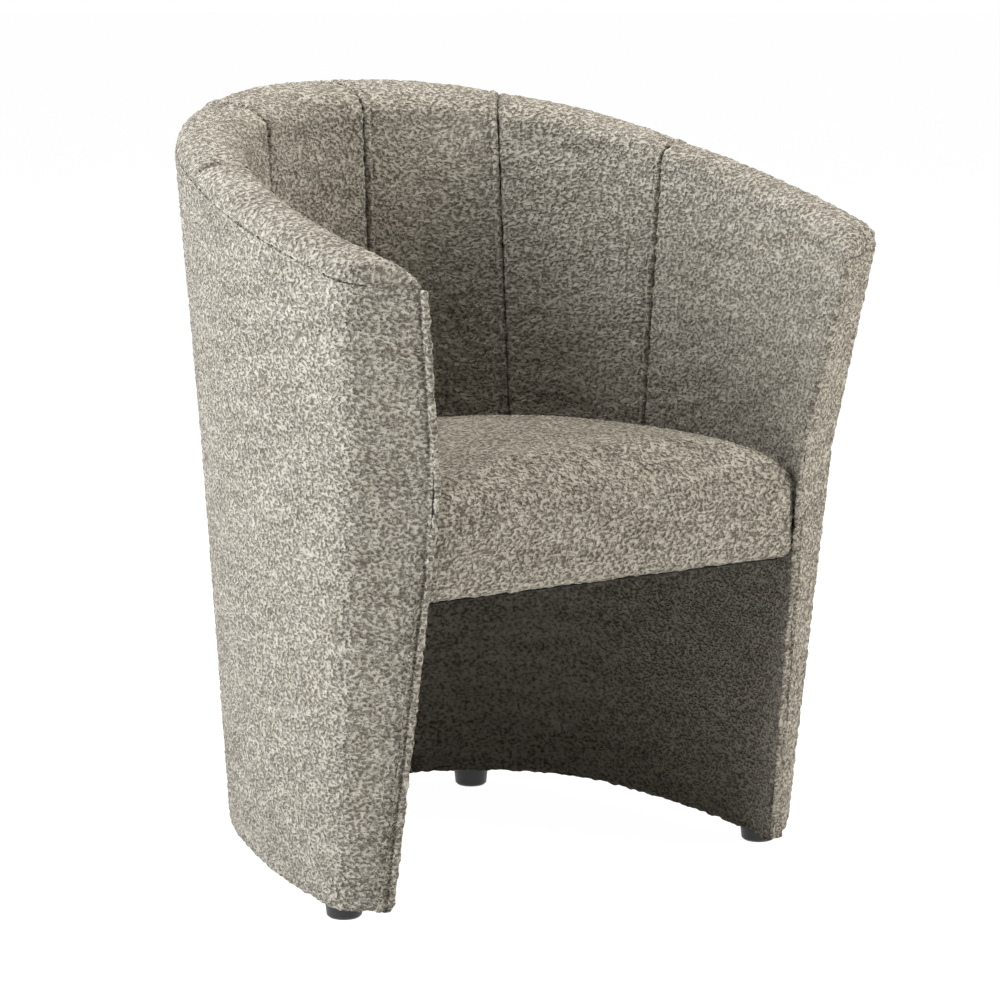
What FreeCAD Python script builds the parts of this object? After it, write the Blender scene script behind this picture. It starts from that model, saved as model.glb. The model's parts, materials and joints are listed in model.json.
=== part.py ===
import FreeCAD, Part
import math
import os

import Sketcher
from FreeCAD import Placement, Rotation, Vector

os.makedirs("parts", exist_ok=True)
doc = FreeCAD.newDocument("club_chair")
sheet = doc.addObject("Spreadsheet::Sheet", "sizes")

# Driving sizes in millimetres; front is -Y, right is +X, up is +Z.
SIZES = [
    ("back_height", 770, "top of the back"),
    ("arm_height", 650, "top of the arms at the front"),
    ("shell_bottom", 20, "lower edge of the shell"),
    ("seat_level", 420, "height where the inner wall starts to flare"),
    ("width_base", 545, "outer width at the lower edge"),
    ("width_seat", 594, "outer width at seat level"),
    ("width_top", 665, "outer width carried up to the back height"),
    ("back_base", 253, "outer back face at the lower edge"),
    ("back_seat", 280, "outer back face at seat level"),
    ("back_top", 301, "outer back face at the back height"),
    ("widest_behind_front", 56, "widest plan line behind the lower front edge"),
    ("widest_seat_set", 36, "widest plan line at seat level, behind the one at the lower edge"),
    ("widest_top_lead", 30, "widest plan line at the back height, ahead of the one at the lower edge"),
    ("front_base", 214.5, "lower front edge ahead of the middle"),
    ("front_rake", 0.146, "forward lean of the arm fronts, run per rise"),
    ("front_slant", 29, "sweep of each arm front away from the seam, degrees"),
    ("arm_corner_radius", 32, "outer front corner of the arm"),
    ("back_roundness", 0.905, "back arc radius over half the width"),
    ("arm_wall_base", 45, "arm wall at the lower edge"),
    ("arm_wall_seat", 62, "arm wall at seat level"),
    ("arm_wall_top", 53, "arm wall carried up to the back height"),
    ("back_wall_base", 62, "back wall at the lower edge"),
    ("back_wall_seat", 90, "back wall at seat level"),
    ("back_wall_top", 90, "back wall at the back height"),
    ("cover_thick", 3, "cover fabric"),
    ("wadding_thick", 6, "wadding under the outer cover"),
    ("board_thick", 3, "upholstery board"),
    ("foam_thick", 20, "foam of the upper inner wall"),
    ("lining_wadding", 4, "wadding under the lower lining"),
    ("fit_gap", 0.3, "clearance between stacked layers"),
    ("rim_rise", 30, "height of the rounded rim over its base plane"),
    ("panel_puff", 6, "crown of an inner panel between its seams"),
    ("seam_crown", 0.4, "crown of an inner panel along its seams"),
    ("panel_end_gap", 3.7, "inner panel to the cover at the arm front"),
    ("seam_first", 0.56, "first seam from the middle, share of the back arc"),
    ("seam_second", 0.15, "second seam, share of the side arc"),
    ("dust_thick", 1, "dust cover cloth"),
    ("ply_thick", 18, "plywood of base and top horseshoes"),
    ("mid_ring_bottom", 316, "underside of the middle horseshoe"),
    ("mid_ring_height", 26, "height of the middle horseshoe"),
    ("lower_post_thick", 17, "lower post across the wall"),
    ("upper_post_thick", 13, "upper post across the wall"),
    ("post_width", 40, "post along the wall"),
    ("post_front_share", 0.79, "front posts, share of the side arc"),
    ("post_side_share", 0.30, "side posts, share of the side arc"),
    ("post_back_share", 0.56, "back posts, share of the back arc"),
    ("frame_screw_dia", 5, "frame screw shank"),
    ("frame_screw_length", 50, "frame screw length"),
    ("frame_screw_head", 9, "frame screw head"),
    ("frame_screw_head_height", 3, "frame screw head height"),
    ("head_sink", 1.6, "frame screw head below the wood face"),
    ("screw_stagger", 10, "offset of the two screws at the middle horseshoe"),
    ("hole_gap", 0.1, "clearance round a screw"),
    ("seat_bottom", 312, "lower edge of the seat"),
    ("seat_edge", 392, "height where the seat crown starts"),
    ("seat_crown", 443, "top of the seat crown"),
    ("seat_dome_run", 175, "run of the seat crown"),
    ("seat_crown_lead", 0.45, "forward shift of the seat crown, share of its run"),
    ("seat_side_gap", 3.4, "seat cover to inner wall"),
    ("seat_tuck", 8, "draw-in of the seat's lower edge"),
    ("seat_tuck_height", 9, "height of that draw-in"),
    ("seat_front_set", 2, "seat front behind the arm seams"),
    ("rail_thick", 22, "seat rail thickness"),
    ("rail_height", 30, "seat rail height"),
    ("rail_side_set", 39.5, "side rails inside the inner arm wall"),
    ("rail_front_set", 20, "front rail behind the seat front"),
    ("rail_side_length", 250, "side rail length"),
    ("rail_back_length", 190, "back rail length"),
    ("rail_back_set", 34, "back rail ahead of the inner back wall"),
    ("block_leg", 36, "corner block leg"),
    ("seat_board_thick", 12, "seat plywood"),
    ("seat_board_set", 8, "seat plywood inside the cover"),
    ("opening_width", 280, "spring opening width"),
    ("opening_length", 256, "spring opening length"),
    ("opening_front_set", 58, "spring opening behind the seat front"),
    ("spring_wire", 3.6, "spring wire"),
    ("spring_count", 5, "number of springs"),
    ("spring_pitch", 56, "distance between springs"),
    ("spring_half_width", 19, "half width of a spring"),
    ("spring_loop_radius", 8, "bend radius of a spring"),
    ("spring_loops", 16, "bends in a spring"),
    ("clip_width", 22, "spring clip width"),
    ("clip_length", 14, "spring clip length"),
    ("clip_height", 7, "spring clip height"),
    ("felt_thick", 4, "felt over the springs"),
    ("felt_margin", 18, "felt beyond the opening"),
    ("seat_screw_dia", 6, "seat screw shank"),
    ("seat_screw_length", 90, "seat screw length"),
    ("seat_screw_head", 12, "seat screw head"),
    ("seat_screw_head_height", 4, "seat screw head height"),
    ("washer_dia", 18, "washer"),
    ("washer_thick", 1.5, "washer thickness"),
    ("side_screw_spacing", 150, "distance between the two side screws"),
    ("back_screw_spacing", 150, "distance between the two back screws"),
    ("foot_top_dia", 38, "foot at its top"),
    ("foot_bottom_dia", 34, "foot at the floor"),
    ("foot_edge", 2, "foot chamfer"),
    ("foot_bore", 5, "foot screw hole"),
    ("foot_counterbore", 11, "foot counterbore"),
    ("foot_counterbore_depth", 9, "foot counterbore depth"),
    ("foot_front_share", 0.87, "front feet, share of the side arc"),
    ("foot_back_share", 0.42, "back feet, share of the back arc"),
    ("foot_screw_dia", 4.6, "foot screw shank"),
    ("foot_screw_length", 26, "foot screw length"),
    ("foot_screw_head", 9, "foot screw head"),
    ("foot_screw_head_height", 3, "foot screw head height"),
]
for row, (alias, number, note) in enumerate(SIZES, 1):
    sheet.set("A%d" % row, note)
    sheet.set("B%d" % row, str(number))
    sheet.setAlias("B%d" % row, alias)
doc.recompute()

V = {alias: float(sheet.get(alias)) for alias, number, note in SIZES}
GAP = V["fit_gap"]
SLANT = math.radians(V["front_slant"])
ALONG = (math.cos(SLANT), math.sin(SLANT))
INTO = (-math.sin(SLANT), math.cos(SLANT))
FAR = 2 * V["back_height"]


class Arc2:
    """Half horseshoe: a side arc that runs tangent into a back arc."""

    def __init__(self, half, back, widest):
        span = back - widest
        self.half = half
        self.back_r = V["back_roundness"] * half
        squares = half ** 2 + span ** 2 - 2 * span * self.back_r
        self.side_r = squares / (2 * (half - self.back_r))
        self.side_c = (half - self.side_r, widest)
        self.back_c = (0.0, back - self.back_r)
        self.joint = math.atan2(self.back_c[1] - widest, -self.side_c[0])

    def side(self, angle, grow):
        reach = self.side_r + grow
        return (self.side_c[0] + reach * math.cos(angle), self.side_c[1] + reach * math.sin(angle))

    def back(self, angle, grow):
        reach = self.back_r + grow
        return (reach * math.cos(angle), self.back_c[1] + reach * math.sin(angle))


def shifted(point, direction, distance):
    return (point[0] + direction[0] * distance, point[1] + direction[1] * distance)


def ray_hit(start, heading, center, radius):
    """Point where a ray leaves a circle."""
    off = (start[0] - center[0], start[1] - center[1])
    along = off[0] * heading[0] + off[1] * heading[1]
    rest = along ** 2 - off[0] ** 2 - off[1] ** 2 + radius ** 2
    return shifted(start, heading, math.sqrt(rest) - along)


def line_hit(start, center, radius):
    """Point where a line along the arm front leaves a circle."""
    return ray_hit(start, ALONG, center, radius)


class Level:
    """Plan of the shell at one height."""

    def __init__(self, z, widest, outer_half, outer_back, inner_half, inner_back):
        self.z = z
        self.widest = widest
        self.outer = Arc2(outer_half, outer_back, widest)
        self.inner = Arc2(inner_half, inner_back, widest)
        self.front = front_y(z)
        drop = self.front - widest
        seam_x = self.inner.side_c[0] + math.sqrt(self.inner.side_r ** 2 - drop ** 2)
        self.seam = (seam_x, self.front)
        radius = V["arm_corner_radius"]
        start = shifted(self.seam, INTO, radius)
        self.corner = line_hit(start, self.outer.side_c, self.outer.side_r - radius)
        off = (self.corner[0] - self.outer.side_c[0], self.corner[1] - widest)
        self.corner_end = math.atan2(off[1], off[0])

    def inner_front(self, inset, grow):
        """Inner wall moved outward by grow, where it meets the front moved in by inset."""
        start = shifted(self.seam, INTO, inset)
        return line_hit(start, self.inner.side_c, self.inner.side_r + grow)

    def inner_start(self, inset, grow):
        point = self.inner_front(inset, grow)
        return math.atan2(point[1] - self.widest, point[0] - self.inner.side_c[0])

    def inner_at(self, q, inset, grow):
        """Inner wall point: q 0 at the middle, 1 at the arc joint, 2 at the front."""
        if q <= 1:
            return self.inner.back(math.pi / 2 + (self.inner.joint - math.pi / 2) * q, grow)
        first = self.inner_start(inset, grow)
        return self.inner.side(self.inner.joint + (first - self.inner.joint) * (q - 1), grow)

    def corner_at(self, share, inset):
        """Corner arc point: share 0 on the side, 1 on the front."""
        radius = V["arm_corner_radius"] - inset
        angle = self.corner_end + (SLANT - math.pi / 2 - self.corner_end) * share
        return (self.corner[0] + radius * math.cos(angle), self.corner[1] + radius * math.sin(angle))

    def inner_angle(self, q, inset, grow):
        """Direction out of the wall at q."""
        if q <= 1:
            return math.pi / 2 + (self.inner.joint - math.pi / 2) * q
        first = self.inner_start(inset, grow)
        return self.inner.joint + (first - self.inner.joint) * (q - 1)

    def across(self, q, inset, front_inset, grow):
        """Outer wall point straight across the wall from the inner point at q."""
        point = self.inner_at(q, front_inset, grow)
        angle = self.inner_angle(q, front_inset, grow)
        heading = (math.cos(angle), math.sin(angle))
        hit = ray_hit(point, heading, self.outer.back_c, self.outer.back_r - inset)
        turn = math.atan2(hit[1] - self.outer.back_c[1], hit[0])
        if turn >= self.outer.joint:
            return hit
        return ray_hit(point, heading, self.outer.side_c, self.outer.side_r - inset)

    def turn_share(self, front_inset):
        """Value of q across from the start of the corner arc."""
        low = 1.0
        high = 2.0
        target = self.corner_at(0, 0)[1]
        for _ in range(40):
            middle = (low + high) / 2
            if self.across(middle, 0, front_inset, 0)[1] > target:
                low = middle
            else:
                high = middle
        return low

    def outer_at(self, q, front_inset):
        """Outer wall point for q; past the corner's start it runs round the corner."""
        turn = self.turn_share(front_inset)
        if q <= turn:
            return self.across(q, 0, front_inset, 0)
        return self.corner_at((q - turn) / (2 - turn), 0)


def front_y(z):
    return -V["front_base"] - V["front_rake"] * (z - V["shell_bottom"])


def mix(a, b, share):
    return a + (b - a) * share


WIDEST_BASE = V["widest_behind_front"] - V["front_base"]
WIDEST_SEAT = WIDEST_BASE + V["widest_seat_set"]
WIDEST_TOP = WIDEST_BASE - V["widest_top_lead"]
KEYS = [
    (WIDEST_BASE, V["width_base"], V["back_base"], V["arm_wall_base"], V["back_wall_base"]),
    (WIDEST_SEAT, V["width_seat"], V["back_seat"], V["arm_wall_seat"], V["back_wall_seat"]),
    (WIDEST_TOP, V["width_top"], V["back_top"], V["arm_wall_top"], V["back_wall_top"]),
]
HEIGHTS = [V["shell_bottom"], V["seat_level"], V["back_height"]]


def level_at(z):
    low = 0 if z <= V["seat_level"] else 1
    share = (z - HEIGHTS[low]) / (HEIGHTS[low + 1] - HEIGHTS[low])
    widest, width, back, arm_wall, back_wall = [mix(a, b, share) for a, b in zip(KEYS[low], KEYS[low + 1])]
    return Level(z, widest, width / 2, back, width / 2 - arm_wall, back - back_wall)


LEVELS = [level_at(z) for z in HEIGHTS]

# The rim crest lies in one sloping plane; the wall layers stop rim_rise below it.
ARM_FRONT = front_y(V["arm_height"])
CREST_FRONT = ARM_FRONT + V["rim_rise"]
CREST_BACK = V["back_top"] - V["back_wall_top"] / 2
RIM_SLOPE = (V["back_height"] - V["arm_height"]) / (CREST_BACK - CREST_FRONT)
CREST_PUFF = V["panel_puff"] / 3


def base_z(y):
    return V["arm_height"] + RIM_SLOPE * (y - CREST_FRONT) - V["rim_rise"] - CREST_PUFF


# Layer depths counted in from the outer face and out from the inner face.
WADDING_IN = V["cover_thick"] + GAP
BOARD_IN = WADDING_IN + V["wadding_thick"] + GAP
FRAME_IN = BOARD_IN + V["board_thick"] + GAP
FOAM_OUT = V["cover_thick"] + GAP
INNER_BOARD_OUT = FOAM_OUT + V["foam_thick"] + GAP
UPPER_OUT = INNER_BOARD_OUT + V["board_thick"] + GAP
LOWER_BOARD_OUT = FOAM_OUT + V["lining_wadding"] + GAP
LOWER_OUT = LOWER_BOARD_OUT + V["board_thick"] + GAP
BASE_FLOOR = V["shell_bottom"] + V["dust_thick"] + GAP
SPLIT = V["mid_ring_bottom"] + V["mid_ring_height"] + GAP
UPPER_LEVELS = [level_at(SPLIT)] + LEVELS[1:]


def vec(point, z):
    return Vector(point[0], point[1], z)


def mirror(point):
    return (-point[0], point[1])


def straight(a, b):
    return Part.LineSegment(a, b).toShape()


def bent(a, b, c):
    return Part.Arc(a, b, c).toShape()


def outer_edges(level, inset, grow):
    """Edges from the right seam round the outside to the left seam."""
    z = level.z
    first = level.inner_front(inset, grow)
    tangent = level.corner_at(1, inset)
    middle = level.corner_at(0.5, inset)
    side_from = level.corner_at(0, inset)
    side_mid = level.outer.side((level.corner_end + level.outer.joint) / 2, -inset)
    joint = level.outer.side(level.outer.joint, -inset)
    crown = level.outer.back(math.pi / 2, -inset)
    right = [
        straight(vec(first, z), vec(tangent, z)),
        bent(vec(tangent, z), vec(middle, z), vec(side_from, z)),
        bent(vec(side_from, z), vec(side_mid, z), vec(joint, z)),
    ]
    left = [
        bent(vec(mirror(joint), z), vec(mirror(side_mid), z), vec(mirror(side_from), z)),
        bent(vec(mirror(side_from), z), vec(mirror(middle), z), vec(mirror(tangent), z)),
        straight(vec(mirror(tangent), z), vec(mirror(first), z)),
    ]
    return right + [bent(vec(joint, z), vec(crown, z), vec(mirror(joint), z))] + left


def inner_edges(level, inset, grow):
    """Edges from the left front along the inner wall to the right front."""
    z = level.z
    first = level.inner_front(inset, grow)
    middle = level.inner_at(1.5, inset, grow)
    joint = level.inner_at(1, inset, grow)
    crown = level.inner_at(0, inset, grow)
    return [
        bent(vec(mirror(first), z), vec(mirror(middle), z), vec(mirror(joint), z)),
        bent(vec(mirror(joint), z), vec(crown, z), vec(joint, z)),
        bent(vec(joint, z), vec(middle, z), vec(first, z)),
    ]


def reversed_edges(edges):
    flipped = []
    for edge in reversed(edges):
        ends = [edge.valueAt(edge.LastParameter), edge.valueAt(edge.FirstParameter)]
        if isinstance(edge.Curve, Part.Line):
            flipped.append(straight(ends[0], ends[1]))
            continue
        half = edge.valueAt((edge.FirstParameter + edge.LastParameter) / 2)
        flipped.append(bent(ends[0], half, ends[1]))
    return flipped


def end_point(edge):
    return edge.valueAt(edge.LastParameter)


def start_point(edge):
    return edge.valueAt(edge.FirstParameter)


def closed_band(one, other):
    """Wire of two runs of edges joined at both ends."""
    first = straight(end_point(one[-1]), start_point(other[0]))
    last = straight(end_point(other[-1]), start_point(one[0]))
    return Part.Wire(one + [first] + other + [last])


def wrap_wire(level, near, far, grow):
    return closed_band(outer_edges(level, near, grow), reversed_edges(outer_edges(level, far, grow)))


def ring_wire(level, inset, grow):
    return Part.Wire(outer_edges(level, inset, grow) + inner_edges(level, inset, grow))


def lining_wire(level, near, far, inset):
    return closed_band(inner_edges(level, inset, near), reversed_edges(inner_edges(level, inset, far)))


def stacked(wires):
    return Part.makeLoft(wires, True, True)


def slab(low, high):
    """Everything between two flat heights."""
    box = Part.makeBox(2 * FAR, 2 * FAR, high - low)
    box.translate(Vector(-FAR, -FAR, low))
    return box


def under_rim(low, drop):
    """Everything from a flat height up to the rim base plane less a drop."""
    reach = V["front_base"] + V["back_top"]
    corners = [
        Vector(-FAR, -reach, low),
        Vector(-FAR, reach, low),
        Vector(-FAR, reach, base_z(reach) - drop),
        Vector(-FAR, -reach, base_z(-reach) - drop),
    ]
    face = Part.Face(Part.makePolygon(corners + corners[:1]))
    return face.extrude(Vector(2 * FAR, 0, 0))


def one_solid(shape):
    return shape.Solids[0] if len(shape.Solids) == 1 else shape


nodes = []


def feature(label, shape):
    """Add a finished shape as a named sub-part."""
    item = doc.addObject("Part::Feature", label)
    item.Label = label
    item.Shape = one_solid(shape)
    nodes.append(item)
    return item


def screw_shape(shank, length, head, head_height, grow):
    """Screw along +Z with its head's outer face at the origin."""
    body = Part.makeCylinder(shank / 2 + grow, length + grow)
    cap = Part.makeCylinder(head / 2 + grow, head_height + grow)
    return body.fuse(cap).removeSplitter()


def aimed(shape, at, direction):
    turned = shape.copy()
    turned.Placement = Placement(at, Rotation(Vector(0, 0, 1), direction))
    return turned


# Frame zone centre lines, used by posts, screws and feet.
def zone_point(z, q, out):
    level = level_at(z)
    inner = level.inner_at(q, FRAME_IN, out)
    outer = level.across(q, FRAME_IN, FRAME_IN, out)
    return ((inner[0] + outer[0]) / 2, (inner[1] + outer[1]) / 2)


def zone_axes(z, q, out):
    angle = level_at(z).inner_angle(q, FRAME_IN, out)
    across = (math.cos(angle), math.sin(angle))
    return across, (-across[1], across[0])


def post_wire(z, q, out, thick, side, sloped):
    """Post section; a sloped one lies in the plane under the top rail."""
    center = zone_point(z, q, out)
    across, along = zone_axes(z, q, out)
    corners = []
    for a, b in ((-1, -1), (1, -1), (1, 1), (-1, 1)):
        x = center[0] + across[0] * a * thick / 2 + along[0] * b * V["post_width"] / 2
        y = center[1] + across[1] * a * thick / 2 + along[1] * b * V["post_width"] / 2
        height = base_z(y) - V["ply_thick"] - GAP if sloped else z
        corners.append(Vector(side * x, y, height))
    return Part.makePolygon(corners + corners[:1])


def rail_height_at(q):
    """Height under the top rail over a post's centre."""
    z = V["arm_height"]
    for _ in range(8):
        z = base_z(zone_point(z, q, UPPER_OUT)[1]) - V["ply_thick"] - GAP
    return z


post_shares = [1 + V["post_front_share"], 1 + V["post_side_share"], V["post_back_share"]]
posts = [(q, 1) for q in post_shares] + [(q, -1) for q in reversed(post_shares)]
base_top = BASE_FLOOR + V["ply_thick"]
frame_screw_args = (V["frame_screw_dia"], V["frame_screw_length"])
frame_head_args = (V["frame_screw_head"], V["frame_screw_head_height"])
frame_screw = screw_shape(*frame_screw_args, *frame_head_args, 0)
frame_hole = screw_shape(*frame_screw_args, *frame_head_args, V["hole_gap"])
lower_posts = []
upper_posts = []
frame_screws = []
frame_holes = []


def place_screw(face, direction):
    at = face + direction * (V["head_sink"] / direction.Length)
    frame_screws.append(aimed(frame_screw, at, direction))
    frame_holes.append(aimed(frame_hole, at, direction))


for q, side in posts:
    low_z = base_top + GAP
    mid_low = V["mid_ring_bottom"] - GAP
    top_z = rail_height_at(q)
    thick = V["lower_post_thick"]
    wires = [post_wire(z, q, LOWER_OUT, thick, side, False) for z in (low_z, mid_low)]
    lower_posts.append(stacked(wires))
    thick = V["upper_post_thick"]
    wires = [post_wire(SPLIT, q, UPPER_OUT, thick, side, False)]
    if top_z > V["seat_level"]:
        wires.append(post_wire(V["seat_level"], q, UPPER_OUT, thick, side, False))
    wires.append(post_wire(top_z, q, UPPER_OUT, thick, side, True))
    upper_posts.append(stacked(wires))

    def on_zone(z, out, shift):
        point = zone_point(z, q, out)
        across, along = zone_axes(z, q, out)
        return Vector(side * (point[0] + along[0] * shift), point[1] + along[1] * shift, z)

    lower_axis = on_zone(mid_low, LOWER_OUT, 0) - on_zone(low_z, LOWER_OUT, 0)
    upper_axis = on_zone(V["seat_level"], UPPER_OUT, 0) - on_zone(SPLIT, UPPER_OUT, 0)
    top_axis = on_zone(top_z, UPPER_OUT, 0) - on_zone(V["seat_level"], UPPER_OUT, 0)
    stagger = V["screw_stagger"]
    place_screw(on_zone(BASE_FLOOR, LOWER_OUT, 0), lower_axis)
    place_screw(on_zone(SPLIT - GAP, LOWER_OUT, -stagger), lower_axis * -1)
    place_screw(on_zone(V["mid_ring_bottom"], UPPER_OUT, stagger), upper_axis)
    over = on_zone(top_z, UPPER_OUT, 0)
    over.z = base_z(over.y)
    place_screw(over, top_axis * -1)

all_frame_holes = Part.makeCompound(frame_holes)

# Plywood horseshoes.
lower_zone = stacked([ring_wire(level, FRAME_IN, LOWER_OUT) for level in LEVELS])
upper_zone = stacked([ring_wire(level, FRAME_IN, UPPER_OUT) for level in UPPER_LEVELS])
foot_q = [(1 + V["foot_front_share"], 1), (1 + V["foot_front_share"], -1)]
foot_q += [(V["foot_back_share"], 1), (V["foot_back_share"], -1)]
foot_names = ["foot_front_right", "foot_front_left", "foot_back_right", "foot_back_left"]
foot_args = (V["foot_screw_dia"], V["foot_screw_length"])
foot_head_args = (V["foot_screw_head"], V["foot_screw_head_height"])
foot_screws = []
foot_holes = []
foot_spots = []
for q, side in foot_q:
    spot = zone_point(V["shell_bottom"], q, LOWER_OUT)
    foot_spots.append((side * spot[0], spot[1]))
    at = Vector(side * spot[0], spot[1], V["foot_counterbore_depth"] - V["foot_screw_head_height"])
    foot_screws.append(aimed(screw_shape(*foot_args, *foot_head_args, 0), at, Vector(0, 0, 1)))
    foot_holes.append(aimed(screw_shape(*foot_args, *foot_head_args, V["hole_gap"]), at, Vector(0, 0, 1)))
all_foot_holes = Part.makeCompound(foot_holes)

base_ring = lower_zone.common(slab(BASE_FLOOR, base_top)).cut(all_frame_holes).cut(all_foot_holes)
mid_blank = lower_zone.common(slab(V["mid_ring_bottom"], SPLIT - GAP)).cut(all_frame_holes)
rail_blank = upper_zone.common(under_rim(V["seat_level"], 0))
top_rail = rail_blank.cut(under_rim(V["seat_level"] - 1, V["ply_thick"])).cut(all_frame_holes)

# Seat plan: the inner wall drawn in, closed by a straight front.
def seat_wire(z, plan_z, inset):
    level = level_at(plan_z)
    grow = -inset - V["seat_side_gap"]
    y = front_y(plan_z) + V["seat_front_set"] + inset
    reach = level.inner.side_r + grow
    start = math.asin((y - level.widest) / reach)
    front = level.inner.side(start, grow)
    middle = level.inner.side((start + level.inner.joint) / 2, grow)
    joint = level.inner.side(level.inner.joint, grow)
    crown = level.inner.back(math.pi / 2, grow)
    return Part.Wire([
        bent(vec(front, z), vec(middle, z), vec(joint, z)),
        bent(vec(joint, z), vec(crown, z), vec(mirror(joint), z)),
        bent(vec(mirror(joint), z), vec(mirror(middle), z), vec(mirror(front), z)),
        straight(vec(mirror(front), z), vec(front, z)),
    ])


def seat_body(low, inset, lift):
    """Crowned seat form, drawn in below, offset inward by inset and lift."""
    tuck_z = V["seat_bottom"] + V["seat_tuck_height"]
    sections = []
    if low < tuck_z:
        sections.append((low, V["seat_tuck"] * (tuck_z - low) / V["seat_tuck_height"], 0))
        sections.append((tuck_z, 0, 0))
    else:
        sections.append((low, 0, 0))
    rise = V["seat_crown"] - V["seat_edge"]
    for step in range(8):
        angle = math.radians(step * 11.5)
        run = V["seat_dome_run"] * (1 - math.cos(angle))
        sections.append((V["seat_edge"] + rise * math.sin(angle), run, V["seat_crown_lead"] * run))
    wires = []
    for z, drawn, lead in sections:
        top = z - lift if z >= V["seat_edge"] else z
        wire = seat_wire(top, z, drawn + inset)
        wire.translate(Vector(0, -lead, 0))
        wires.append(wire)
    return stacked(wires)


rail_floor = V["seat_bottom"] + V["dust_thick"] + GAP
board_floor = rail_floor + V["rail_height"] + GAP
board_top = board_floor + V["seat_board_thick"]
seat_front = front_y(V["seat_bottom"]) + V["seat_front_set"]
rail_front = seat_front + V["rail_front_set"]
rail_back_wall = level_at(V["seat_bottom"]).inner.back(math.pi / 2, 0)[1]
rail_back = rail_back_wall - V["rail_back_set"] - V["rail_thick"]
screw_z = rail_floor + V["rail_height"] / 2
half_span = level_at(V["seat_bottom"]).inner.half - V["rail_side_set"]
rail_mid = rail_front + V["rail_thick"] + V["rail_side_length"] / 2

seat_args = (V["seat_screw_dia"], V["seat_screw_length"], V["seat_screw_head"], V["seat_screw_head_height"])
seat_screw = screw_shape(*seat_args, 0)
seat_hole = Part.makeCylinder(V["seat_screw_dia"] / 2 + V["hole_gap"], V["seat_screw_length"] + V["hole_gap"])
washer = Part.makeCylinder(V["washer_dia"] / 2, V["washer_thick"])
washer = washer.cut(Part.makeCylinder(V["seat_screw_dia"] / 2 + V["hole_gap"], V["washer_thick"]))
seat_spots = []
for sign in (1, -1):
    for shift in (-0.5, 0.5):
        y = rail_mid + shift * V["side_screw_spacing"]
        seat_spots.append((Vector(sign * (half_span - V["rail_thick"]), y, screw_z), Vector(sign, 0, 0)))
        x = shift * V["back_screw_spacing"]
        if sign > 0:
            seat_spots.append((Vector(x, rail_back, screw_z), Vector(0, 1, 0)))
seat_screws = []
seat_washers = []
seat_holes = []
for at, direction in seat_spots:
    seat_washers.append(aimed(washer, at - direction * V["washer_thick"], direction))
    head = V["washer_thick"] + V["seat_screw_head_height"]
    seat_screws.append(aimed(seat_screw, at - direction * head, direction))
    seat_holes.append(aimed(seat_hole, at - direction * head, direction))
all_seat_holes = Part.makeCompound(seat_holes)

feature("base_ring", base_ring)
feature("mid_ring", mid_blank.cut(all_seat_holes))
feature("top_rail", top_rail)
for index, shape in enumerate(lower_posts, 1):
    feature("lower_post_%d" % index, shape.cut(all_frame_holes).cut(all_seat_holes))
for index, shape in enumerate(upper_posts, 1):
    feature("upper_post_%d" % index, shape.cut(all_frame_holes))
feature("frame_screws", Part.makeCompound(frame_screws))

# Boards and padding of the shell.
below_rim = under_rim(BASE_FLOOR, GAP)
upper_part = under_rim(SPLIT, GAP)
lower_part = slab(BASE_FLOOR, V["mid_ring_bottom"] + V["mid_ring_height"])


def wrap_layer(near, far, grow):
    return stacked([wrap_wire(level, near, far, grow) for level in LEVELS])


def lining_layer(near, far, inset):
    return stacked([lining_wire(level, near, far, inset) for level in LEVELS])


feature("outer_board", wrap_layer(BOARD_IN, BOARD_IN + V["board_thick"], LOWER_BOARD_OUT).common(below_rim))
feature("outer_wadding", wrap_layer(WADDING_IN, BOARD_IN - GAP, FOAM_OUT).common(below_rim))
inner_board = lining_layer(INNER_BOARD_OUT, INNER_BOARD_OUT + V["board_thick"], FRAME_IN)
feature("inner_board", inner_board.common(upper_part))
feature("inner_foam", lining_layer(FOAM_OUT, INNER_BOARD_OUT - GAP, FRAME_IN).common(upper_part))
lower_board = lining_layer(LOWER_BOARD_OUT, LOWER_BOARD_OUT + V["board_thick"], FRAME_IN)
feature("lower_board", lower_board.common(lower_part).cut(all_seat_holes))
lower_wadding = lining_layer(FOAM_OUT, LOWER_BOARD_OUT - GAP, BOARD_IN)
feature("lower_wadding", lower_wadding.common(lower_part).cut(all_seat_holes))
lower_lining = lining_layer(0, V["cover_thick"], WADDING_IN)
lining_part = slab(V["shell_bottom"], V["mid_ring_bottom"] + V["mid_ring_height"])
feature("lower_lining", lower_lining.common(lining_part).cut(all_seat_holes))
cover_part = under_rim(V["shell_bottom"], GAP)
feature("outer_cover", wrap_layer(0, V["cover_thick"], 0).common(cover_part))
dust_zone = stacked([ring_wire(level, WADDING_IN, FOAM_OUT) for level in LEVELS])
dust_part = slab(V["shell_bottom"], V["shell_bottom"] + V["dust_thick"])
feature("base_dust_cover", dust_zone.common(dust_part).cut(all_foot_holes))

# Rim and inner panels: sections set across the wall at stations along the horseshoe.
FRONT_INSET = WADDING_IN + V["panel_end_gap"]
SIDE_LENGTH = LEVELS[1].inner.side_r * (LEVELS[1].inner.joint - LEVELS[1].inner_start(FRONT_INSET, 0))


def on_base(low, high):
    """Point of a wall ruling on the rim base plane."""
    z_low = V["seat_level"]
    z_high = V["back_height"]
    rise = z_high - z_low - RIM_SLOPE * (high[1] - low[1])
    share = (base_z(low[1]) - z_low) / rise
    x = mix(low[0], high[0], share)
    y = mix(low[1], high[1], share)
    return Vector(x, y, mix(z_low, z_high, share))


def inner_base(q, grow):
    return on_base(LEVELS[1].inner_at(q, FRONT_INSET, grow), LEVELS[2].inner_at(q, FRONT_INSET, grow))


def outer_base(q):
    return on_base(LEVELS[1].outer_at(q, FRONT_INSET), LEVELS[2].outer_at(q, FRONT_INSET))


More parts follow.
